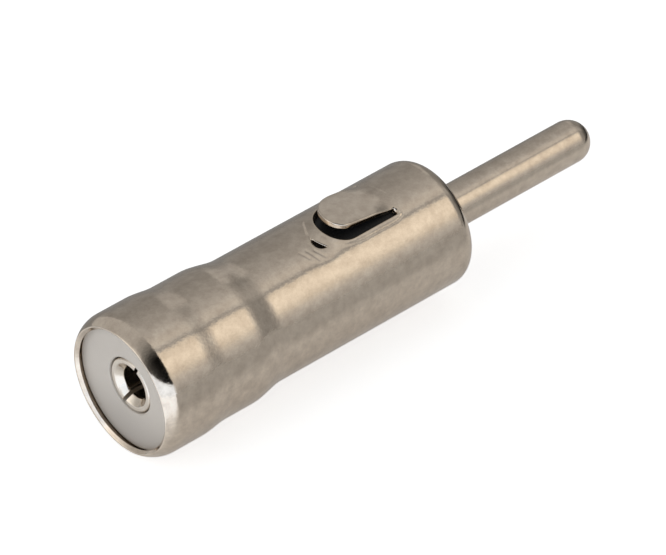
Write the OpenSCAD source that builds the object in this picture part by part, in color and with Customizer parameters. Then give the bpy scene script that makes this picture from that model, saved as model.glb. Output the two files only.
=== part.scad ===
// Car aerial adapter: a slotted socket contact at the front and a plug pin at the rear,
// with one drawn shell round both.
// The pieces are drawn standing on the rim with the axis up,
// and are then laid down along X with the tongue on top.

/* [Shell] */
// Diameter of the plain body that goes into the radio's socket
body_d = 9.5; // [8.8:0.1:10.6]
// Height of the middle band above the body
band_rise = 0.42; // [0.2:0.02:0.7]
// Height of the front barrel above the middle band
barrel_rise = 0.22; // [0.1:0.02:0.5]
// Thickness of the drawn sheet
sheet = 0.35; // [0.25:0.05:0.5]
// Length of the shell from the rim to the rear face
shell_length = 28.9; // [26:0.1:34]
// Distance from the rim to the start of the first step
barrel_length = 3.3; // [2.4:0.1:5]
// Length of the first step, from barrel to band
first_step = 3.3; // [1.5:0.1:4]
// Length of the straight middle band
band_length = 2.1; // [1:0.1:3.5]
// Length of the second step, from band to body
second_step = 2.9; // [1.5:0.1:3.6]

/* [Rim and rear end] */
// Length of barrel over which the rim curves in
rim_depth = 1.75; // [1.2:0.05:2.2]
// Distance by which the rim closes in over the front insulator
rim_width = 0.75; // [0.6:0.05:1]
// Outer radius of the rounded rear end
rear_radius = 1.2; // [0.8:0.05:1.6]
// Diameter of the hole in the rear face
rear_hole_d = 6; // [5:0.1:6.6]

/* [Spring tongue] */
// Distance from the rear face to the root of the tongue
tongue_root = 5.45; // [3.5:0.05:6.5]
// Length of the tongue from root to tip
tongue_length = 4.75; // [3.5:0.05:6]
// Width of the tongue
tongue_width = 3.9; // [3:0.1:4.6]
// Smaller corner radius of the tip, beside the crescent; the rest of the tip is one wide curve
tip_corner = 0.8; // [0.4:0.05:1.6]
// Angle by which the tongue springs out at its root
tongue_lift = 6; // [2:0.5:8]
// Crown radius of the tongue, which is flatter than the body
tongue_crown = 8; // [6.5:0.1:14]

/* [Slot and crescent] */
// Gap beside the tongue on the side of the crescent
slot_near_gap = 0.32; // [0.1:0.01:0.5]
// Gap beside the tongue on the other side
slot_far_gap = 0.2; // [0.1:0.01:0.5]
// Gap in front of the tip
slot_end_gap = 0.8; // [0.3:0.05:1]
// Smaller corner radius of the slot; the rest of its end is one wide curve
slot_corner = 1.45; // [0.6:0.05:2]
// Radius of the lanced crescent
crescent_radius = 0.62; // [0.4:0.02:0.8]
// Widest opening of the crescent
crescent_opening = 0.32; // [0.15:0.01:0.4]
// Sideways distance of the crescent from the tongue's middle
crescent_side = 1.35; // [0.8:0.05:1.6]
// Distance from the slot's front edge to the crescent's centre
crescent_ahead = 0.45; // [0.2:0.05:0.8]
// Direction in which the crescent bulges, from the sideways direction
crescent_turn = -62; // [-90:1:-40]

/* [Front insulator] */
// Depth of the insulator's face below the rim
face_sink = 0.8; // [0.55:0.05:1.1]
// Depth of the contact's mouth below the insulator's face
contact_sink = 0.5; // [0.1:0.05:0.7]

/* [Socket contact] */
// Outer diameter of the contact
contact_d = 3.9; // [3.6:0.1:4.6]
// Bore that takes the aerial lead's pin
bore_d = 2.5; // [2:0.05:2.8]
// Depth of the bore from the mouth
bore_depth = 7; // [5:0.1:8.5]
// Diameter of the funnel at the mouth
mouth_d = 2.9; // [2.6:0.1:3.5]
// Depth of the funnel
mouth_depth = 0.7; // [0.3:0.05:1]
// Width of the saw cut
saw_cut = 0.3; // [0.2:0.05:0.5]
// Depth of the saw cut from the mouth
saw_depth = 6; // [3:0.1:6.8]
// Turn of the saw cut from the tongue's side
saw_turn = 26; // [0:1:90]
// Diameter of the collar held between the two insulators
collar_d = 5.6; // [5:0.1:7]
// Length of the collar
collar_length = 1.2; // [0.8:0.1:2]
// Length of the tail behind the collar
tail_length = 4; // [3:0.1:6]

/* [Plug pin] */
// Diameter of the plug pin
pin_d = 3.2; // [2.6:0.1:3.6]
// Length of the pin beyond the rear face of the shell
pin_reach = 14.45; // [10:0.05:18]
// Diameter of the shank that runs inside to the contact
shank_d = 2.2; // [1.8:0.1:2.4]
// Length of the shank that is pressed into the tail
shank_grip = 3; // [2:0.1:3.4]

/* [Fits] */
// Clearance between a moulding and the metal round or inside it
fit_gap = 0.05; // [0.02:0.01:0.1]
// Clearance of the shank in the tail
press_gap = 0.01; // [0:0.005:0.02]

/* [Hidden] */
$fn = 96;
ARC_STEPS = 12;
CUT_OVER = 1;
ROOT_OVERLAP = 0.15;
// The seam of the revolved sheet lies on the underside, clear of the slot
SEAM_TURN = 180;

body_r = body_d / 2;
band_r = body_r + band_rise;
barrel_r = band_r + barrel_rise;
overall_length = shell_length + pin_reach;

// Places along the axis, from the rim
lip_r = sheet / 2;
rim_centre_r = barrel_r - rim_width;
first_step_end = barrel_length + first_step;
band_end = first_step_end + band_length;
second_step_end = band_end + second_step;
rear_centre_z = shell_length - rear_radius;
mouth_z = face_sink + contact_sink;
collar_end = band_end + collar_length;
tail_end = collar_end + tail_length;
rear_wall = shell_length - sheet;
root_z = shell_length - tongue_root;
tip_z = root_z - tongue_length;
slot_front = tip_z - slot_end_gap;
tongue_half = tongue_width / 2;

function arc(centre, radius, from, to) =
    [for (i = [0 : ARC_STEPS])
        let (a = from + (to - from) * i / ARC_STEPS)
        centre + radius * [cos(a), sin(a)]];

// A smooth step between two radii, level at both ends
function step(r0, z0, r1, z1) =
    [for (i = [0 : ARC_STEPS])
        let (u = i / ARC_STEPS)
        [r0 + (r1 - r0) * u * u * (3 - 2 * u), z0 + (z1 - z0) * u]];

// The rolled rim, a quarter of an ellipse drawn inwards by inset
function rim_curve(inset, from, to) =
    [for (i = [0 : ARC_STEPS])
        let (a = from + (to - from) * i / ARC_STEPS)
        [rim_centre_r + (rim_width - inset) * cos(a), rim_depth - (rim_depth - inset) * sin(a)]];

// An outline round a strip with one small and one wide corner at its front end
function strip(near, far, front, back, corner) = concat(
    [[near, back], [far, back]],
    arc([near - corner, front + near - corner - far], near - corner - far, 180, 270),
    arc([near - corner, front + corner], corner, 270, 360));

// The side wall of the shell, drawn inwards by inset, from the first step to the end of the band
function front_side(inset) = concat(
    step(barrel_r - inset, barrel_length, band_r - inset, first_step_end),
    [[band_r - inset, band_end]]);

// The side wall from the second step to the rounded rear end
function rear_side(inset) = concat(
    step(band_r - inset, band_end, body_r - inset, second_step_end),
    arc([body_r - rear_radius, rear_centre_z], rear_radius - inset, 0, 90));

function reversed(points) = [for (i = [len(points) - 1 : -1 : 0]) points[i]];

module lie_down() {
    translate([-overall_length / 2, 0, barrel_r])
        rotate([0, 90, 0])
            rotate([0, 0, 180])
                children();
}

module shell_profile() {
    polygon(concat(
        arc([rim_centre_r, lip_r], lip_r, 90, 270),
        rim_curve(0, 90, 0),
        front_side(0),
        rear_side(0),
        [[rear_hole_d / 2, shell_length], [rear_hole_d / 2, rear_wall]],
        reversed(rear_side(sheet)),
        reversed(front_side(sheet)),
        rim_curve(sheet, 0, 90)));
}

// Stands a flat outline, x across and y along the axis, in the tongue's direction,
// and draws it out from the axis through the wall
module through_wall() {
    rotate([90, 0, 90])
        linear_extrude(height = body_r + CUT_OVER)
            children();
}

module slot_outline() {
    polygon(strip(tongue_half + slot_near_gap, -tongue_half - slot_far_gap, slot_front, root_z, slot_corner));
}

module tongue_outline() {
    polygon(strip(tongue_half, -tongue_half, tip_z, root_z + ROOT_OVERLAP, tip_corner));
}

module crescent_outline() {
    translate([crescent_side, slot_front - crescent_ahead])
        rotate([0, 0, crescent_turn])
            difference() {
                circle(r = crescent_radius);
                translate([-crescent_opening, 0])
                    circle(r = crescent_radius);
            }
}

// The tongue is a strip of flatter sheet, swung outwards about its root
module tongue() {
    intersection() {
        through_wall()
            tongue_outline();
        translate([body_r, 0, root_z])
            rotate([0, -tongue_lift, 0])
                translate([-tongue_crown, 0, -2 * tongue_length])
                    difference() {
                        cylinder(r = tongue_crown, h = 3 * tongue_length);
                        translate([0, 0, -CUT_OVER])
                            cylinder(r = tongue_crown - sheet, h = 3 * tongue_length + 2 * CUT_OVER);
                    }
    }
}

module shell() {
    color("#b3a596")
        lie_down()
            union() {
                difference() {
                    rotate([0, 0, SEAM_TURN])
                        rotate_extrude()
                            shell_profile();
                    through_wall()
                        slot_outline();
                    through_wall()
                        crescent_outline();
                }
                tongue();
            }
}

module front_insulator() {
    inset = sheet + fit_gap;
    face_turn = asin((rim_depth - face_sink) / (rim_depth - inset));
    hole_r = contact_d / 2 + fit_gap;
    color("#c6c1bb")
        lie_down()
            rotate_extrude()
                polygon(concat(
                    [[hole_r, face_sink]],
                    rim_curve(inset, face_turn, 0),
                    front_side(inset),
                    [[hole_r, band_end]]));
}

module socket_contact() {
    contact_r = contact_d / 2;
    shank_hole_r = shank_d / 2 + press_gap;
    bore_end = mouth_z + bore_depth;
    color("#a99c8c")
        lie_down()
            difference() {
                rotate_extrude()
                    polygon([
                        [0, bore_end],
                        [bore_d / 2, bore_end],
                        [bore_d / 2, mouth_z + mouth_depth],
                        [mouth_d / 2, mouth_z],
                        [contact_r, mouth_z],
                        [contact_r, band_end],
                        [collar_d / 2, band_end],
                        [collar_d / 2, collar_end],
                        [contact_r, collar_end],
                        [contact_r, tail_end],
                        [shank_hole_r, tail_end],
                        [shank_hole_r, tail_end - shank_grip],
                        [0, tail_end - shank_grip]]);
                rotate([0, 0, saw_turn])
                    translate([-contact_d, -saw_cut / 2, mouth_z - CUT_OVER])
                        cube([2 * contact_d, saw_cut, saw_depth + CUT_OVER]);
            }
}

module rear_insulator() {
    tail_hole_r = contact_d / 2 + fit_gap;
    shank_hole_r = shank_d / 2 + fit_gap;
    bush_r = body_r - sheet - fit_gap;
    boss_r = rear_hole_d / 2 - fit_gap;
    corner_r = rear_radius - sheet - fit_gap;
    color("#2b2b2c")
        lie_down()
            rotate_extrude()
                polygon(concat(
                    [[tail_hole_r, tail_end],
                     [tail_hole_r, collar_end],
                     [bush_r, collar_end]],
                    arc([body_r - rear_radius, rear_centre_z], corner_r, 0, 90),
                    [[boss_r, rear_wall - fit_gap],
                     [boss_r, shell_length],
                     [shank_hole_r, shell_length],
                     [shank_hole_r, tail_end]]));
}

module plug_pin() {
    pin_r = pin_d / 2;
    color("#b3a596")
        lie_down()
            rotate_extrude()
                polygon(concat(
                    [[0, tail_end - shank_grip],
                     [shank_d / 2, tail_end - shank_grip],
                     [shank_d / 2, shell_length],
                     [pin_r, shell_length]],
                    arc([0, overall_length - pin_r], pin_r, 0, 90)));
}

shell();
front_insulator();
socket_contact();
rear_insulator();
plug_pin();
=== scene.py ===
# %% [markdown]
# # A car aerial adapter
# The object is a small plug about 43 mm long. A drawn tube of nickel-plated sheet holds a pale plastic
# disc with a slotted socket contact at one end, and a round-tipped pin at the other. A spring tongue is
# cut into the tube. The CAD part is loaded first, so that every piece below is built in the same place
# and to the same size.

# %% Load the CAD part
import math

import bmesh
import bpy
import numpy as np
from mathutils import Matrix, Vector, geometry


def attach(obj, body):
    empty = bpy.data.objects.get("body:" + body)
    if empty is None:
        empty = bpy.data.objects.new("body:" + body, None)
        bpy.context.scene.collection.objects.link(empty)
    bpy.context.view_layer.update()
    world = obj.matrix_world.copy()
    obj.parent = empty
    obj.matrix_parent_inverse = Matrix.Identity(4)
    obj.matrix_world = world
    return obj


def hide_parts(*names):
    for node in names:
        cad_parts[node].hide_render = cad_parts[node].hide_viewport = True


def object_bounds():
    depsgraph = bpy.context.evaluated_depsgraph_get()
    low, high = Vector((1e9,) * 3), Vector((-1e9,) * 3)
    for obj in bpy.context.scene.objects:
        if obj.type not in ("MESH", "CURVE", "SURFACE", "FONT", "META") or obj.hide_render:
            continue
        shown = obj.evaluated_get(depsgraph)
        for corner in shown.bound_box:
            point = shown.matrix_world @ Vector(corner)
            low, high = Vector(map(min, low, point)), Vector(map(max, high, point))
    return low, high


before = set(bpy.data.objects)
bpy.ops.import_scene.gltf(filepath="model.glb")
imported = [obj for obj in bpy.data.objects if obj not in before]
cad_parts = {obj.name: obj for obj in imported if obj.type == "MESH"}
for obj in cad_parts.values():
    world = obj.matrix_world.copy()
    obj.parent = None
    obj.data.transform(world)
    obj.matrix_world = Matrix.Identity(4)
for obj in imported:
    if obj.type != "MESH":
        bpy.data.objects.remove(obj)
cad_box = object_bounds()
scene = bpy.context.scene
print("CAD box in metres:", [[round(c, 5) for c in corner] for corner in cad_box])

# %% [markdown]
# ## Sizes
# Sizes are in millimetres and follow the CAD part. The sheet is a little thicker here, and the edge of
# the rim, the face of the disc, the mouth of the contact and the cuts in the tube are drawn finer. Places
# along the tube are measured from the edge of its rim. Angles round the tube start at the middle of the
# tongue, which is on top, and grow towards the camera's side.

# %% Sizes and places
MM = 0.001
BODY_R, BAND_R, BARREL_R = 4.75, 5.17, 5.39
SHEET, SHELL_LENGTH, PIN_END = 0.4, 28.7, 43.15
BARREL_END, BAND_START, BAND_END, BODY_START = 3.85, 6.1, 8.5, 11.4
RIM_DEPTH, RIM_WIDTH = 1.4, 0.54
RIM_TURN = 2 * math.atan(RIM_WIDTH / RIM_DEPTH)
RIM_RADIUS = RIM_DEPTH / math.sin(RIM_TURN)
REAR_RADIUS, REAR_HOLE_R = 1.2, 3.0
EDGE_ROUND, CLEARANCE = 0.1, 0.05
ORIGIN = round(PIN_END - cad_box[1][0] / MM, 3)
print("Axis above the floor, mm:", BARREL_R, "origin behind the rim's edge, mm:", ORIGIN)

# %% [markdown]
# ## Node helper and colours
# A material is a small graph of nodes. One helper adds a node, fills its inputs and makes its links, so
# that each graph below reads as a list. Colours are written as they look on a screen, and Blender wants
# them linear, so one function converts them.

# %% Node helper and colour function
MATH, RANGE, MIX = "ShaderNodeMath", "ShaderNodeMapRange", "ShaderNodeMix"


def linear(screen_colour):
    """A screen colour such as #c0b0a0 as the linear colour that Blender's sockets take."""
    parts = [int(screen_colour[i:i + 2], 16) / 255 for i in (1, 3, 5)]
    return [c / 12.92 if c <= 0.04045 else ((c + 0.055) / 1.055) ** 2.4 for c in parts] + [1.0]


def add_node(tree, kind, inputs=(), **settings):
    """Adds a node. Inputs, in order or by name, are values, outputs, or nodes for their first output."""
    made = tree.nodes.new(kind)
    for name, value in settings.items():
        setattr(made, name, value)
    for key, value in inputs.items() if isinstance(inputs, dict) else enumerate(inputs):
        if isinstance(value, bpy.types.Node):
            value = next(output for output in value.outputs if not output.is_unavailable)
        if isinstance(value, bpy.types.NodeSocket):
            tree.links.new(value, made.inputs[key])
        else:
            made.inputs[key].default_value = value
    return made


def new_material(name):
    """An empty material and its node tree."""
    made = bpy.data.materials.new(name)
    made.use_nodes = True
    made.node_tree.nodes.clear()
    return made, made.node_tree


print("Warm nickel in linear light:", [round(c, 3) for c in linear("#e2d4c2")[:3]])

# %% [markdown]
# ## Nickel plate
# The tube, the pin and the contact are plated with nickel, which is a little warmer than chrome. The
# plate isn't a perfect mirror: handling has left soft stains, it is slightly clouded, and it has a fine
# grain. Three noises in object coordinates make these, each sized by the real thing in millimetres. The
# stains change the colour, the clouds change the roughness, and the grain is a very shallow bump. The
# real grain is finer, but it wouldn't show at this size.

# %% Nickel plate
STAIN, CLOUD, PLATE_GRAIN = 0.8, 0.9, 0.25


def nickel_plate(name, bright, stained, roughness, grain_depth):
    """Plated metal that shows its surroundings, with soft edges and a faint patchiness."""
    made, tree = new_material(name)
    where = add_node(tree, "ShaderNodeTexCoord").outputs["Object"]
    stains = add_node(tree, "ShaderNodeTexNoise", {"Vector": where, "Scale": 1 / (STAIN * MM), "Detail": 6.0,
                                                   "Roughness": 0.7})
    stain_share = add_node(tree, RANGE, (stains, 0.3, 0.7))
    colour = add_node(tree, MIX, {"Factor": stain_share, "A": linear(bright), "B": linear(stained)},
                      data_type="RGBA")
    clouds = add_node(tree, "ShaderNodeTexNoise", {"Vector": where, "Scale": 1 / (CLOUD * MM),
                                                   "Detail": 5.0})
    rough = add_node(tree, RANGE, (clouds, 0.3, 0.7, roughness * 0.85, roughness * 1.2))
    grain = add_node(tree, "ShaderNodeTexNoise", {"Vector": where, "Scale": 1 / (PLATE_GRAIN * MM),
                                                  "Detail": 3.0})
    bump = add_node(tree, "ShaderNodeBump", {"Height": grain, "Strength": 0.5, "Distance": grain_depth * MM})
    shader = add_node(tree, "ShaderNodeBsdfPrincipled", {"Base Color": colour, "Roughness": rough,
                                                         "Normal": bump, "Metallic": 1.0})
    add_node(tree, "ShaderNodeOutputMaterial", {"Surface": shader})
    return made


shell_plate = nickel_plate("satin_nickel_sheet", "#e2d4c2", "#c6b7a6", 0.11, 0.014)
pin_plate = nickel_plate("satin_nickel_pin", "#e2d4c2", "#c8b9a8", 0.17, 0.010)
contact_plate = nickel_plate("bright_nickel_contact", "#e2d8ca", "#d6c9b8", 0.16, 0.002)
print("Nickel finishes:", shell_plate.name, pin_plate.name, contact_plate.name)

# %% [markdown]
# ## Plastics
# The front disc is a pale grey moulding with a satin face. The bush inside the tube is black, and shows
# only in the tongue's slot and as a ring round the pin. A moulding is never one even colour, so both get
# faint clouds and a fine moulded grain. Both also get painted shade: their colour darkens towards the
# lower edge, where less light comes up from the floor, and this shows on the pale one.

# %% Plastics
MOULD_CLOUD, MOULD_GRAIN = 1.6, 0.12
# Painted shade: heights in mm over which the moulding's colour darkens towards the bottom, near the floor.
PAINTED_SHADE_LOW, PAINTED_SHADE_HIGH = 0.5, 5.2


def moulded_plastic(name, pale, deep, painted_shade_colour, roughness, grain_depth):
    """A satin moulding: soft highlights, faint clouds and painted shade towards its lower edge."""
    made, tree = new_material(name)
    where = add_node(tree, "ShaderNodeTexCoord").outputs["Object"]
    clouds = add_node(tree, "ShaderNodeTexNoise", {"Vector": where, "Scale": 1 / (MOULD_CLOUD * MM),
                                                   "Detail": 5.0})
    clean = add_node(tree, MIX, {"Factor": clouds, "A": linear(pale), "B": linear(deep)}, data_type="RGBA")
    height = add_node(tree, "ShaderNodeSeparateXYZ", (where,)).outputs["Z"]
    # Painted shade: lower down the colour turns to the darker one, standing in for less light from the
    # floor.
    painted_shade_share = add_node(tree, RANGE, (height, PAINTED_SHADE_LOW * MM, PAINTED_SHADE_HIGH * MM, 1.0, 0.0),
                       interpolation_type="SMOOTHSTEP")
    colour = add_node(tree, MIX, {"Factor": painted_shade_share, "A": clean, "B": linear(painted_shade_colour)}, data_type="RGBA")
    grain = add_node(tree, "ShaderNodeTexNoise", {"Vector": where, "Scale": 1 / (MOULD_GRAIN * MM),
                                                  "Detail": 2.0})
    rough = add_node(tree, RANGE, (grain, 0.0, 1.0, roughness * 0.9, roughness * 1.1))
    bump = add_node(tree, "ShaderNodeBump", {"Height": grain, "Strength": 0.4, "Distance": grain_depth * MM})
    shader = add_node(tree, "ShaderNodeBsdfPrincipled", {"Base Color": colour, "Roughness": rough,
                                                         "Normal": bump, "Specular IOR Level": 0.4})
    add_node(tree, "ShaderNodeOutputMaterial", {"Surface": shader})
    return made


pale_plastic = moulded_plastic("pale_grey_moulding", "#e9e0d4", "#e2d8cb", "#c4bbb0", 0.45, 0.004)
dark_plastic = moulded_plastic("black_moulding", "#1a1a1b", "#151516", "#171717", 0.55, 0.006)
print("Plastics:", pale_plastic.name, dark_plastic.name)

# %% [markdown]
# ## The drawn shell: its outline along the tube
# The tube is one sheet. Its outer face follows a line from the edge of the bent-in rim, over the barrel,
# down two soft steps and round the rear end to the hole for the pin. The line could be a curve with a
# bevel, but rows of points let the cuts be fitted in later. They are close where the line bends, and next
# to both edges, which are slightly rounded like any sheared sheet.

# %% Outline of the outer face
EDGE_STEPS = np.array([0, 0.008, 0.025, 0.05, 0.075, 0.1, 0.14])
EDGE_ROWS = len(EDGE_STEPS)
RIM_EDGE_TURN = 0.11


def soft(share):
    """A smooth step from 0 to 1."""
    share = np.clip(share, 0, 1)
    return share * share * (3 - 2 * share)


def step_rows(start, stop, start_r, stop_r, count):
    """Rows of a soft step from one radius to another."""
    share = np.linspace(0, 1, count)
    return np.stack([start + (stop - start) * share, start_r + (stop_r - start_r) * soft(share)], 1)


def straight_rows(places, radius):
    return np.array([(along, radius) for along in places])


rim_turn = np.concatenate([RIM_TURN - EDGE_STEPS / RIM_RADIUS, np.linspace(RIM_TURN - RIM_EDGE_TURN, 0, 20)])
rear_turn = np.radians(np.linspace(0, 90, 17))[1:]
rear_start = SHELL_LENGTH - REAR_RADIUS
rows = np.concatenate([
    np.stack([RIM_DEPTH - RIM_RADIUS * np.sin(rim_turn), BARREL_R - RIM_RADIUS * (1 - np.cos(rim_turn))], 1),
    straight_rows((1.9, 2.5, 3.1), BARREL_R),
    step_rows(BARREL_END, BAND_START, BARREL_R, BAND_R, 19),
    straight_rows((6.5, 6.95, 7.45, 8.0), BAND_R),
    step_rows(BAND_END, BODY_START, BAND_R, BODY_R, 21),
    straight_rows(np.arange(BODY_START + 0.5, rear_start - 0.2, 0.5), BODY_R),
    straight_rows((rear_start,), BODY_R),
    np.stack([SHELL_LENGTH - REAR_RADIUS * (1 - np.sin(rear_turn)),
              BODY_R - REAR_RADIUS * (1 - np.cos(rear_turn))], 1),
    np.stack([np.full(EDGE_ROWS, SHELL_LENGTH), REAR_HOLE_R + EDGE_STEPS[::-1]], 1)])
row_edge_gap = np.full(len(rows), 1.0)
row_edge_gap[:EDGE_ROWS] = EDGE_STEPS
row_edge_gap[-EDGE_ROWS:] = EDGE_STEPS[::-1]
COLUMNS = 144
column_turn = np.radians(np.arange(COLUMNS) * 360 / COLUMNS - 180)
print("Outline rows:", len(rows), "columns:", COLUMNS)

# %% [markdown]
# ## The slot and the tongue
# The press cuts a U-shaped slot that frees the tongue. Both outlines are straight sides joined by two
# arcs that meet at the tip: a tight one on the camera's side and a wide one on the far side. The slot
# keeps a wide gap at the tip and a narrow one along the far side. The outlines are drawn as seen from
# straight above the tongue, as in the CAD part, and then unrolled onto the flat sheet.

# %% Outlines of the slot and the tongue
ROOT, TIP, TONGUE_HALF, TIP_MIDDLE = 23.5, 18.5, 1.95, 0.75
SLOT_FRONT, SLOT_NEAR, SLOT_FAR_GAP = 17.95, 2.39, 0.06
GAP_GROWS_FROM, GAP_GROWS_TO = math.radians(200), math.radians(270)


def arc_points(centre, radius, start, stop, spacing=0.07):
    count = max(4, int(abs(math.radians(stop - start)) * radius / spacing))
    turn = np.radians(np.linspace(start, stop, count + 1))
    return np.stack([centre[0] + radius * np.cos(turn), centre[1] + radius * np.sin(turn)], 1)


def line_points(start, stop, spacing=0.07):
    count = max(1, int(math.dist(start, stop) / spacing))
    share = np.linspace(0, 1, count + 1)[:, None]
    return np.array(start) * (1 - share) + np.array(stop) * share


def strip_outline(near, front, far_gap):
    """From the near side of the root, round the tip, to the far side of the root."""
    corner, wide = near - TIP_MIDDLE, TONGUE_HALF + TIP_MIDDLE
    turn = np.radians(np.linspace(270, 180, 65))[:, None]
    growth = soft((turn - GAP_GROWS_FROM) / (GAP_GROWS_TO - GAP_GROWS_FROM))
    reach = wide + far_gap + (TIP - front - far_gap) * growth
    far_curve = np.array((TIP_MIDDLE, TIP + wide)) + reach * np.concatenate([np.cos(turn), np.sin(turn)], 1)
    return np.concatenate([
        line_points((near, ROOT), (near, front + corner))[:-1],
        arc_points((TIP_MIDDLE, front + corner), corner, 0, -90)[:-1],
        far_curve[:-1],
        line_points(far_curve[-1], (far_curve[-1][0], ROOT))])


def unrolled(points):
    """From the view straight above the tongue to the flat sheet."""
    return np.stack([BODY_R * np.arcsin(points[:, 0] / BODY_R), points[:, 1]], 1)


slot_line = unrolled(strip_outline(SLOT_NEAR, SLOT_FRONT, SLOT_FAR_GAP))
tongue_line = unrolled(strip_outline(TONGUE_HALF, TIP, 0.0))
slot_loop = np.concatenate([slot_line, tongue_line[::-1]])
print("Points on the slot:", len(slot_loop))

# %% [markdown]
# ## The crescent
# Beside the tip of the tongue the press left a small crescent that goes through the sheet. It is the part
# of a small circle that a large circle leaves over, so its horns are where the two circles meet.

# %% Outline of the crescent
CRESCENT_R, CRESCENT_HOLLOW, CRESCENT_OPENING = 0.62, 3.5, 0.38
CRESCENT_MIDDLE = np.array([1.4, SLOT_FRONT - 0.65])
CRESCENT_LEAN = math.radians(-66)
hollow_x = CRESCENT_R - CRESCENT_OPENING - CRESCENT_HOLLOW
horn_x = (CRESCENT_HOLLOW ** 2 - CRESCENT_R ** 2 - hollow_x ** 2) / (-2 * hollow_x)
horn = math.degrees(math.acos(horn_x / CRESCENT_R))
hollow_horn = math.degrees(math.acos((horn_x - hollow_x) / CRESCENT_HOLLOW))
bulge = arc_points((0, 0), CRESCENT_R, -horn, horn, 0.05)
hollow = arc_points((hollow_x, 0), CRESCENT_HOLLOW, hollow_horn, -hollow_horn, 0.05)
leaned = np.array([[math.cos(CRESCENT_LEAN), math.sin(CRESCENT_LEAN)],
                   [-math.sin(CRESCENT_LEAN), math.cos(CRESCENT_LEAN)]])
crescent_loop = unrolled(np.concatenate([bulge, hollow[1:-1]]) @ leaned + CRESCENT_MIDDLE)
print("Points on the crescent:", len(crescent_loop))

# %% [markdown]
# ## The flat sheet as a mesh
# A boolean could cut the slot, but it leaves thin faces that show in a mirror. So the mesh is made with
# the cuts in it. Most of the sheet is a plain grid of rows and columns. Round the cuts the grid gives way
# to a patch of finer points with the outlines in it, and a Delaunay triangulation joins them up. Rows of
# points run close beside every cut, to carry the rounding of its edge.

# %% Distances and insides on the flat sheet
def distance_to(points, line, closed=True):
    """The distance of each point from a line of straight pieces."""
    starts = line if closed else line[:-1]
    pieces = (np.roll(line, -1, 0) if closed else line[1:]) - starts
    offset = points[:, None, :] - starts[None]
    share = np.clip((offset * pieces).sum(2) / np.maximum((pieces ** 2).sum(1), 1e-12), 0, 1)
    return np.sqrt(((offset - share[..., None] * pieces) ** 2).sum(2)).min(1)


def inside(points, loop):
    """Whether each point lies inside a closed line."""
    x, y = points[:, :1], points[:, 1:]
    ax, ay = loop[:, 0], loop[:, 1]
    bx, by = np.roll(ax, -1), np.roll(ay, -1)
    level = np.where(by == ay, 1e-12, by - ay)
    crosses = ((ay > y) != (by > y)) & (x < (bx - ax) * (y - ay) / level + ax)
    return crosses.sum(1) % 2 == 1


def cut_gap(points):
    """The distance of each point from the nearest cut."""
    return np.minimum(distance_to(points, slot_loop), distance_to(points, crescent_loop))


def in_a_cut(points):
    return inside(points, slot_loop) | inside(points, crescent_loop)


def beside(loop, distance):
    """Points on the metal's side of a cut, at a distance from it."""
    ahead, behind = np.roll(loop, -1, 0), np.roll(loop, 1, 0)
    away = np.stack([(ahead - behind)[:, 1], -(ahead - behind)[:, 0]], 1)
    away /= np.linalg.norm(away, axis=1)[:, None]
    area = (loop[:, 0] * ahead[:, 1] - ahead[:, 0] * loop[:, 1]).sum()
    placed = loop + away * distance * (1 if area > 0 else -1)
    return placed[(cut_gap(placed) > 0.8 * distance) & ~in_a_cut(placed)]


print("Width of the slot at the tip, mm:", round(TIP - SLOT_FRONT, 2))

# %% The border and the points of the patch
PATCH_START, PATCH_END, PATCH_FAR, PATCH_NEAR = 14.4, 25.4, -60, 75
FINE, BORDER_GAP, FAR_BORDER_GAP, CUT_GAP = 0.085, 0.15, 0.1, 0.15


def row_at(along):
    return int(np.argmin(np.abs(rows[:, 0] - along) + np.abs(rows[:, 1] - BODY_R)))


row_first, row_last = row_at(PATCH_START), row_at(PATCH_END)
column_first, column_last = [(turn + 180) * COLUMNS // 360 for turn in (PATCH_FAR, PATCH_NEAR)]
grid_u = column_turn * BODY_R
border = ([(row_first, c) for c in range(column_first, column_last)]
          + [(r, column_last) for r in range(row_first, row_last)]
          + [(row_last, c) for c in range(column_last, column_first, -1)]
          + [(r, column_first) for r in range(row_last, row_first, -1)])
border_points = np.array([(grid_u[c], rows[r, 0]) for r, c in border])
fine_u = np.arange(grid_u[column_first] + BORDER_GAP, grid_u[column_last] - FAR_BORDER_GAP, FINE)
fine_z = np.arange(rows[row_first, 0] + BORDER_GAP, rows[row_last, 0] - FAR_BORDER_GAP, FINE)
fine = np.stack(np.meshgrid(fine_u, fine_z), -1).reshape(-1, 2)
fine = fine[(cut_gap(fine) > CUT_GAP) & ~in_a_cut(fine)]
edge_points = np.concatenate([beside(loop, gap) for loop in (slot_loop, crescent_loop)
                              for gap in EDGE_STEPS[1:-1]])
flat = np.concatenate([border_points, slot_loop, crescent_loop, edge_points, fine])
print("Points for the patch:", len(flat), "of which beside the cuts:", len(edge_points))


# %% Triangles of the patch
def closed_line(first, count):
    """Pairs of point numbers round a closed line."""
    return [(first + i, first + (i + 1) % count) for i in range(count)]


outlines = (closed_line(0, len(border)) + closed_line(len(border), len(slot_loop))
            + closed_line(len(border) + len(slot_loop), len(crescent_loop)))
triangulated = geometry.delaunay_2d_cdt([Vector(p) for p in flat], outlines, [], 0, 1e-5)
patch_flat = np.array([tuple(p) for p in triangulated[0]])
patch_faces = np.array(triangulated[2])
patch_faces = patch_faces[~in_a_cut(patch_flat[patch_faces].mean(1))]
print("Patch points:", len(patch_flat), "triangles:", len(patch_faces))

# %% [markdown]
# ## Forming the sheet
# Now the flat sheet is wrapped round the tube and worked as the press worked it. The tongue bends up from
# its root and loses some of its roundness. The tool that cut the crescent dented the sheet round it, and
# left three short scores below it and a crease in front of the slot. A line runs along the slot's lip,
# and the bend pushed up a small bulge at the slot's end and left a mark across the root. All but the dent
# and the bulge are shallow grooves along lines on the flat sheet, so they are one list of depths, widths
# and lines.

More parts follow.
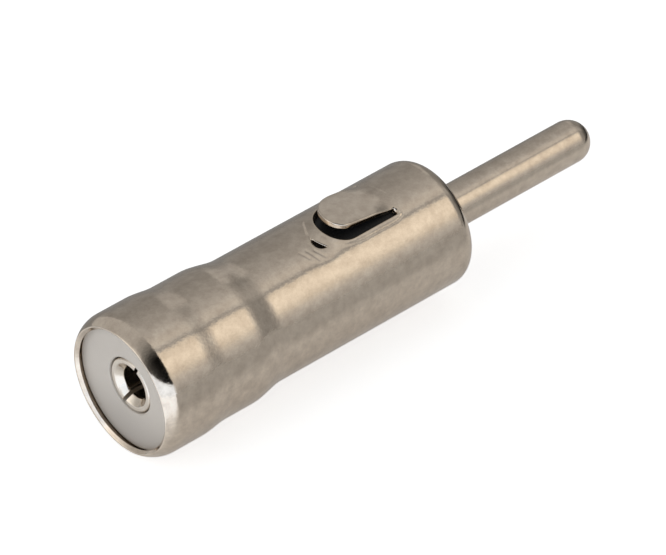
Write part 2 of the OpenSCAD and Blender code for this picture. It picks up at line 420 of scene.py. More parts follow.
# %% Marks of the press
SCORES = (((1.55, 15.3), (2.3, 15.65)), ((1.65, 15.85), (2.75, 16.25)), ((1.9, 16.4), (2.75, 16.8)))
CREASE = ((-0.9, 17.9), (-0.67, 17.7), (0.26, 17.14), (0.9, 16.92))
BRIDGE_MARK = ((1.1, 17.65), (1.7, 17.93))
ROOT_MARK = ((-1.0, 23.93), (0.55, 24.16))
LIP_LINE = ((2.72, 23.75), (2.95, 23.2), (2.95, 20.0), (2.75, 18.8), (2.3, 17.95))
GROOVES = [(0.03, 0.09, score) for score in SCORES] + [
    (0.03, 0.13, CREASE), (0.012, 0.08, BRIDGE_MARK), (0.012, 0.12, ROOT_MARK), (0.012, 0.07, LIP_LINE)]
DENT_DEPTH, DENT_MIDDLE, DENT_SIZE = 0.1, (1.75, 16.9), (0.95, 0.9)
BULGE_HEIGHT, BULGE_MIDDLE, BULGE_SIZE = 0.03, (2.45, 23.68), (0.24, 0.16)


def bump_at(points, middle, size):
    return np.exp(-(((points - np.array(middle)) / np.array(size)) ** 2).sum(1))


def formed_radius(points):
    """The radius of the sheet's outer face with its dent, its grooves and its bulge."""
    radius = BODY_R - DENT_DEPTH * bump_at(points, DENT_MIDDLE, DENT_SIZE)
    for depth, width, line in GROOVES:
        gap = distance_to(points, np.array(line), closed=False)
        radius = radius - depth * np.exp(-(gap / width) ** 2)
    return radius + BULGE_HEIGHT * bump_at(points, BULGE_MIDDLE, BULGE_SIZE)


print("Grooves:", len(GROOVES))

# %% The bent tongue
TONGUE_LIFT, TONGUE_CROWN = math.tan(math.radians(8.3)), 9.5
BEND_LENGTH, FLATTEN_LENGTH = 0.9, 1.6


def formed(points):
    """Where points of the flat sheet end up: along the tube, sideways and up from its axis."""
    turn, along = points[:, 0] / BODY_R, points[:, 1]
    radius = formed_radius(points)
    sideways, up = -radius * np.sin(turn), radius * np.cos(turn)
    on_tongue = inside(points, tongue_line) | (distance_to(points, tongue_line, closed=False) < 1e-4)
    on_tongue &= along < ROOT - 1e-6
    out = np.clip(ROOT - along, 0, None)
    lift = TONGUE_LIFT * (out - BEND_LENGTH * (1 - np.exp(-out / BEND_LENGTH)))
    wide = BODY_R * np.sin(turn)
    round_up = np.sqrt(BODY_R ** 2 - wide ** 2)
    flat_up = BODY_R - TONGUE_CROWN + np.sqrt(TONGUE_CROWN ** 2 - wide ** 2)
    tongue_up = round_up + (flat_up - round_up) * soft(out / FLATTEN_LENGTH) + lift
    return np.stack([along, np.where(on_tongue, -wide, sideways), np.where(on_tongue, tongue_up, up)], 1)


patch_points = formed(patch_flat)
print("The tongue's top is", round(patch_points[:, 2].max(), 2), "mm above the axis")

# %% The patch and the grid as one face
grid_along = np.repeat(rows[:, 0], COLUMNS)
grid_radius = np.repeat(rows[:, 1], COLUMNS)
grid_turn = np.tile(column_turn, len(rows))
grid_points = np.stack([grid_along, -grid_radius * np.sin(grid_turn), grid_radius * np.cos(grid_turn)], 1)
outer = np.concatenate([grid_points, patch_points])
edge_gap = np.concatenate([np.repeat(row_edge_gap, COLUMNS), cut_gap(patch_flat)])
patch_index = len(grid_points) + np.arange(len(patch_flat))
for number, origins in enumerate(triangulated[3]):
    on_border = [o for o in origins if o < len(border)]
    if on_border:
        patch_index[number] = border[on_border[0]][0] * COLUMNS + border[on_border[0]][1]
faces = [tuple(patch_index[f]) for f in patch_faces]
for r in range(len(rows) - 1):
    for c in range(COLUMNS):
        if not (row_first <= r < row_last and column_first <= c < column_last):
            d = (c + 1) % COLUMNS
            faces.append((r * COLUMNS + c, r * COLUMNS + d, (r + 1) * COLUMNS + d, (r + 1) * COLUMNS + c))
print("Outer face:", len(faces), "faces")

# %% [markdown]
# ## Giving the sheet its thickness
# A Solidify modifier would do for a plain tube. Here the edges also need their rounding, so it is done by
# hand. The outer face is copied inwards by the thickness of the sheet, along its own normals. Near every
# edge the outer face then drops along a quarter circle, which is the rounding, and walls close the edges
# of the rim, the cuts and the rear hole.

# %% The inner face and the rounded edges
def vertex_normals(points, polygons):
    normals = np.zeros_like(points)
    for size in (3, 4):
        group = np.array([f for f in polygons if len(f) == size])
        corners = points[group]
        face = np.cross(corners[:, 2] - corners[:, 0], corners[:, -1] - corners[:, 1])
        for k in range(size):
            np.add.at(normals, group[:, k], face)
    return normals / np.maximum(np.linalg.norm(normals, axis=1), 1e-12)[:, None]


outer_normals = vertex_normals(outer, faces)
used = np.unique(np.concatenate([np.array(f) for f in faces]))
renumber = np.full(len(outer), -1)
renumber[used] = np.arange(len(used))
outer, outer_normals, edge_gap = outer[used], outer_normals[used], edge_gap[used]
faces = [tuple(int(renumber[i]) for i in f) for f in faces]
inner = outer - outer_normals * SHEET
short = np.clip(EDGE_ROUND - edge_gap, 0, EDGE_ROUND)
outer = outer - outer_normals * (EDGE_ROUND - np.sqrt(EDGE_ROUND ** 2 - short ** 2))[:, None]
print("Points on each face of the sheet:", len(outer))

# %% Walls along the edges
WALL_ROWS = 0.15, 0.5, 0.85
directed = {(f[i], f[(i + 1) % len(f)]) for f in faces for i in range(len(f))}
open_edges = [e for e in directed if (e[1], e[0]) not in directed]
edge_vertices = np.array(sorted({i for e in open_edges for i in e}))
place_on_edge = {int(i): n for n, i in enumerate(edge_vertices)}
layers, layer_first, count = [outer], [0], len(outer)
for share in WALL_ROWS:
    layers.append(outer[edge_vertices] * (1 - share) + inner[edge_vertices] * share)
    layer_first.append(count)
    count += len(edge_vertices)
layers.append(inner)
layer_first.append(count)


def on_layer(vertex, layer):
    """The number of an outer point, or of the same point on a row of the wall or on the inner face."""
    in_wall = 0 < layer < len(layers) - 1
    return layer_first[layer] + (place_on_edge[vertex] if in_wall else vertex)


walls = [(on_layer(b, k), on_layer(a, k), on_layer(a, k + 1), on_layer(b, k + 1))
         for a, b in open_edges for k in range(len(layers) - 1)]
inner_faces = [tuple(layer_first[-1] + i for i in reversed(f)) for f in faces]
print("Open edges walled:", len(open_edges))


# %% The shell as an object
def mesh_object(name, points, polygons, finish):
    """A smooth object from points in millimetres along the tube, sideways and up from its axis."""
    spots = (np.asarray(points) + [-ORIGIN, 0, BARREL_R]) * MM
    mesh = bpy.data.meshes.new(name)
    mesh.from_pydata(spots.tolist(), [], [list(map(int, p)) for p in polygons])
    mesh.validate()
    mesh.materials.append(finish)
    mesh.shade_smooth()
    made = bpy.data.objects.new(name, mesh)
    scene.collection.objects.link(made)
    return made


def print_solid(name, work):
    print(name, "volume, mm3:", round(work.calc_volume(signed=True) / MM ** 3, 1), "faces:", len(work.faces),
          "open edges:", sum(not e.is_manifold for e in work.edges))


shell = mesh_object("drawn_shell", np.concatenate(layers), faces + walls + inner_faces, shell_plate)
work = bmesh.new()
work.from_mesh(shell.data)
print_solid("Shell", work)
work.free()

# %% [markdown]
# ## Turned pieces
# The pin, the disc and the bush are bodies of revolution: one outline, turned round the axis. That is a
# rule, so Geometry Nodes follow it. The tree takes an outline as a row of points, makes a grid with one
# row for each point and one column for each step round, and swings every grid point to its place.

# %% A lathe in Geometry Nodes
def lathe_tree():
    tree = bpy.data.node_groups.new("lathe", "GeometryNodeTree")
    for name, kind in (("Outline", "NodeSocketGeometry"), ("Steps round", "NodeSocketInt"),
                       ("Join distance", "NodeSocketFloat"), ("Finish", "NodeSocketMaterial")):
        tree.interface.new_socket(name, in_out="INPUT", socket_type=kind)
    tree.interface.new_socket("Turned piece", in_out="OUTPUT", socket_type="NodeSocketGeometry")
    given = add_node(tree, "NodeGroupInput").outputs
    size = add_node(tree, "GeometryNodeAttributeDomainSize", {"Geometry": given["Outline"]})
    columns = add_node(tree, MATH, (given["Steps round"], 1.0), operation="ADD")
    grid = add_node(tree, "GeometryNodeMeshGrid", {"Vertices X": size.outputs["Point Count"],
                                                   "Vertices Y": columns})
    number = add_node(tree, "GeometryNodeInputIndex")
    share = add_node(tree, MATH, (number, columns), operation="DIVIDE")
    outline_row = add_node(tree, MATH, (share,), operation="FLOOR")
    step = add_node(tree, MATH, (number, columns), operation="MODULO")
    spot = add_node(tree, "GeometryNodeInputPosition")
    sample = add_node(tree, "GeometryNodeSampleIndex", {"Geometry": given["Outline"], "Value": spot,
                                                        "Index": outline_row}, data_type="FLOAT_VECTOR")
    part = add_node(tree, "ShaderNodeSeparateXYZ", (sample,)).outputs
    full = add_node(tree, MATH, (step, 2 * math.pi), operation="MULTIPLY")
    swing = add_node(tree, MATH, (full, given["Steps round"]), operation="DIVIDE")
    sine = add_node(tree, MATH, (swing,), operation="SINE")
    cosine = add_node(tree, MATH, (swing,), operation="COSINE")
    sideways = add_node(tree, MATH, (part["Z"], sine), operation="MULTIPLY")
    up = add_node(tree, MATH, (part["Z"], cosine), operation="MULTIPLY")
    raised = add_node(tree, MATH, (up, BARREL_R * MM), operation="ADD")
    new_spot = add_node(tree, "ShaderNodeCombineXYZ", (part["X"], sideways, raised))
    swung = add_node(tree, "GeometryNodeSetPosition", {"Geometry": grid, "Position": new_spot})
    joined = add_node(tree, "GeometryNodeMergeByDistance", {"Geometry": swung,
                                                            "Distance": given["Join distance"]})
    smooth = add_node(tree, "GeometryNodeSetShadeSmooth", {"Geometry": joined})
    real = add_node(tree, "GeometryNodeRealizeInstances", {"Geometry": smooth})
    coated = add_node(tree, "GeometryNodeSetMaterial", {"Geometry": real, "Material": given["Finish"]})
    add_node(tree, "NodeGroupOutput", (coated,))
    return tree


lathe = lathe_tree()
lathe_inputs = {item.name: item.identifier for item in lathe.interface.items_tree if item.in_out == "INPUT"}
print("Lathe inputs:", list(lathe_inputs))

# %% [markdown]
# ## Using the lathe
# The outline goes in as a mesh of points and edges. The modifier's result becomes a plain mesh, whose
# faces are then turned outwards. Corners of the outlines get short extra pieces, so that edges look eased
# and not knife-sharp.

# %% Using the lathe
NEARLY_STRAIGHT = -0.9


def eased(outline, amount=0.03, closed=False):
    """Cuts each corner of an outline with points close to it, so that smooth shading stays on the corner."""
    outline = [np.array(p, float) for p in outline]
    made = []
    for i, corner in enumerate(outline):
        if not closed and i in (0, len(outline) - 1):
            made.append(corner)
            continue
        before, after = outline[i - 1] - corner, outline[(i + 1) % len(outline)] - corner
        bend = np.dot(before, after) / np.linalg.norm(before) / np.linalg.norm(after)
        if bend < NEARLY_STRAIGHT:
            made.append(corner)
            continue
        for arm, reaches in ((before, (3, 1)), (after, (1, 3))):
            length = np.linalg.norm(arm)
            made += [corner + arm / length * min(amount * reach, length * reach / 8) for reach in reaches]
    return made + [made[0]] if closed else made


def turned_piece(name, outline, finish, steps):
    mesh = bpy.data.meshes.new(name)
    mesh.from_pydata([((along - ORIGIN) * MM, 0, radius * MM) for along, radius in outline],
                     [(i, i + 1) for i in range(len(outline) - 1)], [])
    made = bpy.data.objects.new(name, mesh)
    scene.collection.objects.link(made)
    modifier = made.modifiers.new("lathe", "NODES")
    modifier.node_group = lathe
    modifier[lathe_inputs["Steps round"]] = steps
    modifier[lathe_inputs["Join distance"]] = 1e-6
    modifier[lathe_inputs["Finish"]] = finish
    graph = bpy.context.evaluated_depsgraph_get()
    solid = bpy.data.meshes.new_from_object(made.evaluated_get(graph), depsgraph=graph)
    made.modifiers.remove(modifier)
    made.data = solid
    solid.name = name
    work = bmesh.new()
    work.from_mesh(solid)
    bmesh.ops.recalc_face_normals(work, faces=work.faces)
    work.to_mesh(solid)
    print_solid(name, work)
    work.free()
    return made


print("Lathe ready:", lathe.name)

# %% [markdown]
# ## Plug pin
# The pin is turned from brass, with a round tip. A thinner shank, which doesn't show, runs through the
# bush into the tail of the contact.

# %% Plug pin
PIN_R, SHANK_R, SHANK_START = 1.6, 1.1, 10.7
tip = [(PIN_END - PIN_R + PIN_R * math.sin(a), PIN_R * math.cos(a))
       for a in np.radians(np.linspace(0, 90, 25))]
pin_outline = [(SHANK_START, 0), (SHANK_START, SHANK_R), (SHELL_LENGTH, SHANK_R),
               (SHELL_LENGTH, PIN_R)] + tip
pin = turned_piece("plug_pin_turned", eased(pin_outline, 0.05), pin_plate, 96)

# %% [markdown]
# ## Front disc
# The disc fills the front of the tube, so its side repeats the tube's own curve from the inside, a hair
# smaller. Its face is dished: it lies about 1 mm behind the edge of the rim in the middle and comes
# forward towards its edge. The hole for the contact has an eased edge.

# %% Front disc
INSET = SHEET + CLEARANCE
FACE, DISH, HOLE_R = 1.0, 0.35, 2.15
disc_bend = RIM_RADIUS - INSET
edge_turn = math.asin((RIM_DEPTH - FACE + DISH) / disc_bend)
under_rim = [(RIM_DEPTH - disc_bend * math.sin(a), BARREL_R - RIM_RADIUS + disc_bend * math.cos(a))
             for a in np.linspace(edge_turn, 0, 8)]
edge_r = under_rim[0][1]
dished = [(FACE - DISH * (r / edge_r) ** 2, r) for r in np.linspace(HOLE_R, edge_r, 9)[:-1]]
under_step = [tuple(row) for row in step_rows(BARREL_END, BAND_START, BARREL_R - INSET, BAND_R - INSET, 12)]
disc_outline = dished + under_rim + under_step + [(BAND_END, BAND_R - INSET), (BAND_END, HOLE_R)]
disc = turned_piece("front_disc", eased(disc_outline, 0.06, closed=True), pale_plastic, 128)

# %% [markdown]
# ## Rear bush
# The bush keeps the pin off the tube. It fills the tube from the contact's collar to the rear hole, round
# the contact's tail and the pin's shank.

# %% Rear bush
TAIL_END, COLLAR_END = 13.7, 9.7
corner_r = REAR_RADIUS - INSET
rear_corner = [(rear_start + corner_r * math.sin(a), BODY_R - REAR_RADIUS + corner_r * math.cos(a))
               for a in np.radians(np.linspace(0, 90, 8))]
bush_outline = [(TAIL_END, HOLE_R), (COLLAR_END, HOLE_R), (COLLAR_END, BODY_R - INSET)] + rear_corner + [
    (SHELL_LENGTH - INSET, REAR_HOLE_R - CLEARANCE), (SHELL_LENGTH, REAR_HOLE_R - CLEARANCE),
    (SHELL_LENGTH, SHANK_R + CLEARANCE), (TAIL_END, SHANK_R + CLEARANCE)]
bush = turned_piece("rear_bush", eased(bush_outline, 0.05, closed=True), dark_plastic, 96)

# %% [markdown]
# ## Socket contact
# The contact is a turned tube whose front is sawn across, so that two springy halves can grip the aerial
# lead's pin. The saw leaves parallel walls. Each half is therefore a lathe that stops where it meets the
# saw's plane: at a small radius that is at a wider angle than at a large one. The tail behind the cut is
# a full turn.

# %% Outlines of the contact
MOUTH, SAW_END, SAW_HALF, SAW_TURN = 0.97, 7.05, 0.15, math.radians(26)
CONTACT_R, MOUTH_R, BORE_R, BORE_END = 2.05, 1.6, 1.2, 8.05
FUNNEL_DEPTH, LIP, LIP_EASE = 0.45, 0.08, 0.03
COLLAR_R, SHANK_FIT, CONTACT_EASE = 2.8, 0.01, 0.025
TAIL_BORE_R = SHANK_R + SHANK_FIT
front_outline = eased([
    (SAW_END, BORE_R), (MOUTH + FUNNEL_DEPTH, BORE_R), (MOUTH + LIP, MOUTH_R - LIP_EASE),
    (MOUTH, MOUTH_R + LIP), (MOUTH, CONTACT_R - LIP), (MOUTH + LIP, CONTACT_R),
    (SAW_END, CONTACT_R)], CONTACT_EASE, closed=True)[:-1]
tail_outline = eased([
    (SAW_END, BORE_R), (SAW_END, CONTACT_R), (BAND_END, CONTACT_R), (BAND_END, COLLAR_R),
    (COLLAR_END, COLLAR_R), (COLLAR_END, CONTACT_R),
    (TAIL_END, CONTACT_R), (TAIL_END, TAIL_BORE_R), (SHANK_START, TAIL_BORE_R),
    (SHANK_START, 0), (BORE_END, 0), (BORE_END, BORE_R)], CONTACT_EASE, closed=True)[:-1]
print("Outline points of the contact:", len(front_outline), "in front and", len(tail_outline), "behind")


# %% Socket contact
def half_turn(outline, gap, start, steps=48):
    """Half of a turned piece, with both ends on one plane that lies at a gap from the axis."""
    spots, polygons, size = [], [], len(outline)
    for step in range(steps + 1):
        for along, radius in outline:
            shy = math.asin(min(1.0, gap / radius)) if gap else 0.0
            swing = start + shy + (math.pi - 2 * shy) * step / steps
            spots.append((along, -radius * math.sin(swing), radius * math.cos(swing)))
    for step in range(steps):
        for i in range(size):
            j = (i + 1) % size
            polygons.append((step * size + i, step * size + j, (step + 1) * size + j, (step + 1) * size + i))
    if gap:
        polygons += [tuple(range(size)), tuple(steps * size + i for i in reversed(range(size)))]
    return spots, polygons


contact_points, contact_faces = [], []
for outline, gap in ((front_outline, SAW_HALF), (tail_outline, 0.0)):
    for start in (SAW_TURN, SAW_TURN + math.pi):
        spots, polygons = half_turn(outline, gap, start)
        contact_faces += [tuple(len(contact_points) + i for i in p) for p in polygons]
        contact_points += spots
contact = mesh_object("slotted_contact", contact_points, contact_faces, contact_plate)
work = bmesh.new()
work.from_mesh(contact.data)
bmesh.ops.remove_doubles(work, verts=work.verts, dist=1e-7)
bmesh.ops.dissolve_degenerate(work, edges=work.edges, dist=1e-7)
bmesh.ops.recalc_face_normals(work, faces=work.faces)
work.to_mesh(contact.data)
print_solid("Contact", work)
work.free()
contact.data.set_sharp_from_angle(angle=math.radians(50))

# %% [markdown]
# ## What each piece stands for
# Every piece replaces the CAD node of the same thing and rides on the part's one body.

# %% Pieces and CAD nodes
for piece, node_name, finish_slot in (
        (shell, "shell", "shell_plate"), (disc, "front_insulator", "pale_plastic"),
        (contact, "socket_contact", "contact_plate"), (bush, "rear_insulator", "dark_plastic"),
        (pin, "plug_pin", "pin_plate")):
    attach(piece, "root")
    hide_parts(node_name)
    print(piece.name, "stands for", node_name)

# %% [markdown]
# ## Floor
# The floor is plain white paper, which takes the object's soft shadow. Metal mirrors it, so how bright
# each part of the paper looks in a mirror shapes the metal. The paper is brightest in front of the rim,
# dull under the near side of the tube, and dark on the far side and behind the pin. A Light Path node
# tells mirror rays from others, and each part of the paper is a range along the tube or across it, in
# metres.

# %% The paper's parts in the mirror
FLOOR_HALF, SHEET_SLANT = 2.0, 0.153
floor_corners = [(x * FLOOR_HALF, y * FLOOR_HALF, 0) for x, y in ((-1, -1), (1, -1), (1, 1), (-1, 1))]
floor_mesh = bpy.data.meshes.new("floor")
floor_mesh.from_pydata(floor_corners, [], [(0, 1, 2, 3)])
floor = bpy.data.objects.new("floor", floor_mesh)
scene.collection.objects.link(floor)
paper, tree = new_material("white_paper")
where = add_node(tree, "ShaderNodeTexCoord").outputs["Object"]
along, across = add_node(tree, "ShaderNodeSeparateXYZ", (where,)).outputs[:2]
heading = add_node(tree, "ShaderNodeVectorMath", (where,), operation="NORMALIZE")
sheet_edge = add_node(tree, MATH, (across, SHEET_SLANT, along), operation="MULTIPLY_ADD")
part = {name: add_node(tree, RANGE, limits, interpolation_type="SMOOTHSTEP") for name, limits in {
    "straight behind": (add_node(tree, "ShaderNodeSeparateXYZ", (heading,)), 0.82, 0.95),
    "past the pin": (along, 0.035, 0.060),
    "behind the rim": (along, -0.024, -0.016),
    "far away": (across, 0.015, 0.030),
    "far side": (across, 0.002, 0.012, 0.0, 0.55),
    "ahead": (along, -0.024, -0.028),
    "not far side": (across, 0.001, 0.006, 1.0, 0.3),
    "out from the tube": (across, -0.006, -0.024, 0.42, 1.0),
    "in front": (sheet_edge, -0.0200, -0.0250),
    "under the near side": (across, -0.020, -0.009, 0.0, 0.16)}.items()}
behind = add_node(tree, MATH, (part["straight behind"], part["past the pin"]), operation="MULTIPLY")
far_reach = add_node(tree, MATH, (part["behind the rim"], part["far away"]), operation="MAXIMUM")
far_side = add_node(tree, MATH, (part["far side"], far_reach), operation="MULTIPLY")
ahead = add_node(tree, MATH, (part["ahead"], part["not far side"]), operation="MULTIPLY")
beyond_tube = add_node(tree, MATH, (part["out from the tube"], ahead), operation="MAXIMUM")
in_front = add_node(tree, MATH, (part["in front"], beyond_tube), operation="MULTIPLY")
print("Parts of the paper:", ", ".join(part))

# %% [markdown]
# ## The paper's finish
# The paper is matte. A glow that only camera rays and mirror rays see lifts it to the white of a studio
# sheet, so no extra lamp has to shine on the object for that. In front of the rim the mirrored glow has
# the cool colour of daylight.

# %% Floor
DAYLIGHT, PLAIN = (0.86, 0.98, 1.16, 1.0), (1.0, 1.0, 1.0, 1.0)
SEEN_GLOW = 0.66
ray = add_node(tree, "ShaderNodeLightPath").outputs
seen = add_node(tree, MATH, (ray["Is Camera Ray"], ray["Is Transmission Ray"]), operation="MAXIMUM")
mirrored = ray["Is Glossy Ray"]
dark = add_node(tree, MATH, (behind, far_side), operation="MAXIMUM")
dark_share = add_node(tree, MATH, (mirrored, dark), operation="MULTIPLY")
lit = add_node(tree, MATH, (1.0, dark_share), operation="SUBTRACT")
brightest = add_node(tree, MATH, (in_front, part["under the near side"]), operation="MAXIMUM")
mirror_glow = add_node(tree, MATH, (brightest, lit), operation="MULTIPLY")
mirrored_glow = add_node(tree, MATH, (mirrored, mirror_glow), operation="MULTIPLY")
glow = add_node(tree, MATH, (seen, SEEN_GLOW, mirrored_glow), operation="MULTIPLY_ADD")
paper_colour = add_node(tree, MIX, {"Factor": dark_share, "A": linear("#f2f2f2"), "B": linear("#303030")},
                        data_type="RGBA")
matte = add_node(tree, "ShaderNodeBsdfDiffuse", {"Color": paper_colour})
cool_share = add_node(tree, MATH, (mirrored, in_front), operation="MULTIPLY")
glow_colour = add_node(tree, MIX, {"Factor": cool_share, "A": PLAIN, "B": DAYLIGHT}, data_type="RGBA")
light = add_node(tree, "ShaderNodeEmission", {"Color": glow_colour, "Strength": glow})
both = add_node(tree, "ShaderNodeAddShader", (matte, light))
add_node(tree, "ShaderNodeOutputMaterial", {"Surface": both})
floor_mesh.materials.append(paper)
print("Floor of", paper.name)

# %% [markdown]
# ## Studio light
# Polished metal shows its surroundings, so the light is built as a room in the world shader, and lamps
# aren't needed. Directions are measured as two angles in degrees: `polar`, from the way the pin points,
# and `around` the axis, from the camera's side. Every straight part of the tube mirrors a cone at one
# polar angle, so a colour ramp over `around` lays the bands of light along it: a bright window in the
# middle with a dark frame above it, and a greyer ceiling.

# %% Directions and the window's bands
CAMERA_SIDE, CAMERA_POLAR = 137.5, 59.5
BANDS = ((-180, 0.33), (-122, 0.33), (-104, 0.34), (-89, 0.38), (-75, 0.43), (-63, 0.49), (-52, 0.57),
         (-41, 0.67), (-34, 0.71), (-28.5, 0.68), (-25.5, 0.42), (-23, 0.41), (-19.5, 0.88), (-14, 1.03),
         (-5, 1.11), (4, 1.10), (10, 1.0), (20, 0.78), (30, 0.62), (41, 0.48), (52, 0.44), (180, 0.44))
world = bpy.data.worlds.new("studio_room")
world.use_nodes = True
scene.world = world
tree = world.node_tree
tree.nodes.clear()
direction = add_node(tree, "ShaderNodeTexCoord").outputs["Generated"]
axis = add_node(tree, "ShaderNodeSeparateXYZ", (direction,)).outputs
polar_radians = add_node(tree, MATH, (axis["X"],), operation="ARCCOSINE")
polar = add_node(tree, MATH, (polar_radians,), operation="DEGREES")
bearing_radians = add_node(tree, MATH, (axis["Z"], axis["Y"]), operation="ARCTAN2")
bearing = add_node(tree, MATH, (bearing_radians,), operation="DEGREES")
from_camera = add_node(tree, MATH, (bearing, CAMERA_SIDE), operation="SUBTRACT")
around = add_node(tree, MATH, (from_camera, 180.0, -180.0), operation="WRAP")
full_turn = add_node(tree, MATH, (around, 180.0), operation="ADD")
ramp_place = add_node(tree, MATH, (full_turn, 360.0), operation="DIVIDE")
bands = add_node(tree, "ShaderNodeValToRGB", (ramp_place,))
stops = bands.color_ramp.elements
stops.remove(stops[-1])
for number, (degrees, level) in enumerate(BANDS):
    stop = stops[0] if number == 0 else stops.new((degrees + 180) / 360)
    stop.position = (degrees + 180) / 360
    stop.color = level, level, level, 1.0
print("Bands of light:", len(stops))

# %% [markdown]
# ## The room's parts
# Surfaces that lean mirror other parts of the room. The steps and the rear end lean the mirror back, out
# of the window, and darken. The tongue leans that way too and has a soft light of its own. The rim
# mirrors the room in front: a white sheet low down, a dark place above it on the camera's side, and light
# straight ahead. Each part is a range of one angle, or of the height at which the sheet ends.

# %% Parts of the room
SHEET_RISE = 0.22
height = add_node(tree, MATH, (axis["X"], SHEET_RISE, axis["Z"]), operation="MULTIPLY_ADD")
part = {name: add_node(tree, RANGE, limits, interpolation_type="SMOOTHSTEP") for name, limits in {
    "in the window": (polar, 38.0, 55.0),
    "ceiling": (around, -75.0, -45.0, 0.29, 0.45),
    "window frame": (around, -38.0, -22.0, 0.0, 0.13),
    "behind the pin": (polar, 8.0, 30.0, 0.30, 1.0),
    "tongue polar end": (polar, 57.0, 52.0),
    "tongue polar start": (polar, 40.0, 46.0),
    "tongue around start": (around, -135.0, -115.0),
    "tongue around end": (around, -70.0, -85.0),
    "dark around start": (around, -58.0, -12.0),
    "dark around end": (around, 100.0, 140.0, 1.0, 0.0),
    "dark polar": (polar, 95.0, 140.0, 0.99, 0.88),
    "dark polar end": (polar, 144.0, 156.0, 1.0, 0.0),
    "light ahead": (polar, 120.0, 152.0, 0.54, 1.45),
    "light ahead end": (polar, 158.0, 166.0, 1.0, 0.5),
    "in front": (polar, 75.5, 79.5),
    "sheet height": (height, 0.315, 0.255),
    "sheet around": (around, -90.0, -50.0),
    "sheet polar": (polar, 71.0, 83.0),
    "sheet polar end": (polar, 156.0, 164.0, 1.0, 0.3),
    "warm bands": (bands, 0.55, 0.95),
    "warm polar": (polar, 85.0, 75.0)}.items()}
print("Parts of the room:", len(part))

# %% [markdown]
# ## The room's light
# The parts are put together as brightness: beside the tube, in front of it, and then the sheet over both.
# The window's light is a little warm, and the sheet has the cool colour of daylight. Camera rays see
# plain white, which is the background of the picture.

# %% Light beside the tube
TONGUE_LIGHT = 0.17
frame_level = add_node(tree, MATH, (part["ceiling"], part["window frame"]), operation="SUBTRACT")
back_level = add_node(tree, MATH, (frame_level, part["behind the pin"]), operation="MULTIPLY")
window_level = add_node(tree, MIX, {"Factor": part["in the window"], "A": back_level,
                                    "B": bands.outputs["Color"]})
tongue_polar = add_node(tree, MATH, (part["tongue polar end"], part["tongue polar start"]),
                        operation="MULTIPLY")
tongue_around = add_node(tree, MATH, (part["tongue around start"], part["tongue around end"]),
                         operation="MULTIPLY")
on_tongue = add_node(tree, MATH, (tongue_polar, tongue_around), operation="MULTIPLY")
tongue_light = add_node(tree, MATH, (on_tongue, TONGUE_LIGHT), operation="MULTIPLY")
side_level = add_node(tree, MATH, (window_level, tongue_light), operation="ADD")
print("Added for the tongue:", TONGUE_LIGHT)

# %% Light in front of the rim
SHEET_LEVEL = 1.45
dark_around = add_node(tree, MATH, (part["dark around start"], part["dark around end"]),
                       operation="MULTIPLY")
dark_polar = add_node(tree, MATH, (part["dark polar"], part["dark polar end"]), operation="MULTIPLY")
dark_ahead = add_node(tree, MATH, (dark_around, dark_polar), operation="MULTIPLY")
lit_share = add_node(tree, MATH, (1.0, dark_ahead), operation="SUBTRACT")
ahead_level = add_node(tree, MATH, (part["light ahead"], part["light ahead end"]), operation="MULTIPLY")
front_level = add_node(tree, MATH, (ahead_level, lit_share), operation="MULTIPLY")
high_level = add_node(tree, MIX, {"Factor": part["in front"], "A": side_level, "B": front_level})
low = add_node(tree, MATH, (part["sheet height"], part["sheet around"]), operation="MULTIPLY")
sheet_reach = add_node(tree, MATH, (part["sheet polar"], part["sheet polar end"]), operation="MULTIPLY")
on_sheet = add_node(tree, MATH, (low, sheet_reach), operation="MULTIPLY")
room_level = add_node(tree, MIX, {"Factor": on_sheet, "A": high_level, "B": SHEET_LEVEL})
print("Brightness of the sheet:", SHEET_LEVEL)

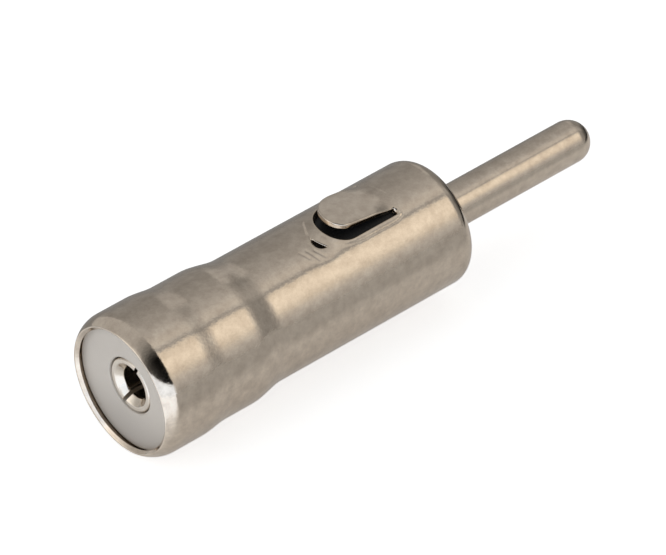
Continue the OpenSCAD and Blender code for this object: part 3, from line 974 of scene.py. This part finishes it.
# %% The room's colour and the world
WINDOW_LIGHT = (1.04, 0.975, 0.875, 1.0)
window_reach = add_node(tree, MATH, (part["in the window"], part["warm polar"]), operation="MULTIPLY")
window_share = add_node(tree, MATH, (part["warm bands"], window_reach), operation="MULTIPLY")
wall_colour = add_node(tree, MIX, {"Factor": window_share, "A": PLAIN, "B": WINDOW_LIGHT}, data_type="RGBA")
room_colour = add_node(tree, MIX, {"Factor": on_sheet, "A": wall_colour, "B": DAYLIGHT}, data_type="RGBA")
ray = add_node(tree, "ShaderNodeLightPath").outputs
seen = add_node(tree, MATH, (ray["Is Camera Ray"], ray["Is Transmission Ray"]), operation="MAXIMUM")
strength = add_node(tree, MIX, {"Factor": seen, "A": room_level, "B": 1.0})
room = add_node(tree, "ShaderNodeBackground", {"Color": room_colour, "Strength": strength})
add_node(tree, "ShaderNodeOutputWorld", {"Surface": room})
scene.view_settings.view_transform = "Standard"
print("World:", world.name)

# %% [markdown]
# ## Camera
# The camera looks at the tube 59.5 degrees from its axis and stands 450 mm away, with a long lens: that
# is where the photograph's outlines, steps and ends fall into place. One place on the tube's axis is
# matched with its pixel, and the tube's tilt on the picture gives the camera's roll.

# %% Camera
PIXELS_PER_MM, DISTANCE, SENSOR, PICTURE_TILT = 14.445, 450.0, 36.0, 29.08978
WIDTH_PX, HEIGHT_PX = 666, 555
MATCHED_PLACE, MATCHED_PIXEL = 15.86, (295.34, 293.68)
tilt, lean, side = [math.radians(angle) for angle in (PICTURE_TILT, CAMERA_POLAR, CAMERA_SIDE)]
axis_x = Vector((1, 0, 0))
toward = Vector((0, math.cos(side), math.sin(side)))
below = Vector((0, math.cos(side + math.pi / 2), math.sin(side + math.pi / 2)))
view = -math.cos(lean) * axis_x + math.sin(lean) * toward
tube_on_picture = math.sin(lean) * axis_x + math.cos(lean) * toward
right = math.cos(tilt) * tube_on_picture + math.sin(tilt) * below
up = math.sin(tilt) * tube_on_picture - math.cos(tilt) * below
off_centre = (WIDTH_PX / 2 - MATCHED_PIXEL[0]) * right + (MATCHED_PIXEL[1] - HEIGHT_PX / 2) * up
aim = Vector((MATCHED_PLACE - ORIGIN, 0, BARREL_R)) + off_centre / PIXELS_PER_MM
lens = bpy.data.cameras.new("camera")
lens.sensor_width = SENSOR
lens.lens = PIXELS_PER_MM * DISTANCE * SENSOR / WIDTH_PX
camera = bpy.data.objects.new("camera", lens)
scene.collection.objects.link(camera)
turned = Matrix((right, up, view)).transposed().to_4x4()
camera.matrix_world = Matrix.Translation((aim + view * DISTANCE) * MM) @ turned
scene.camera = camera
print("Lens, mm:", round(lens.lens, 1), "camera at", [round(c, 4) for c in camera.location])

# %% [markdown]
# ## Finish

# %% Finish
bpy.context.view_layer.update()
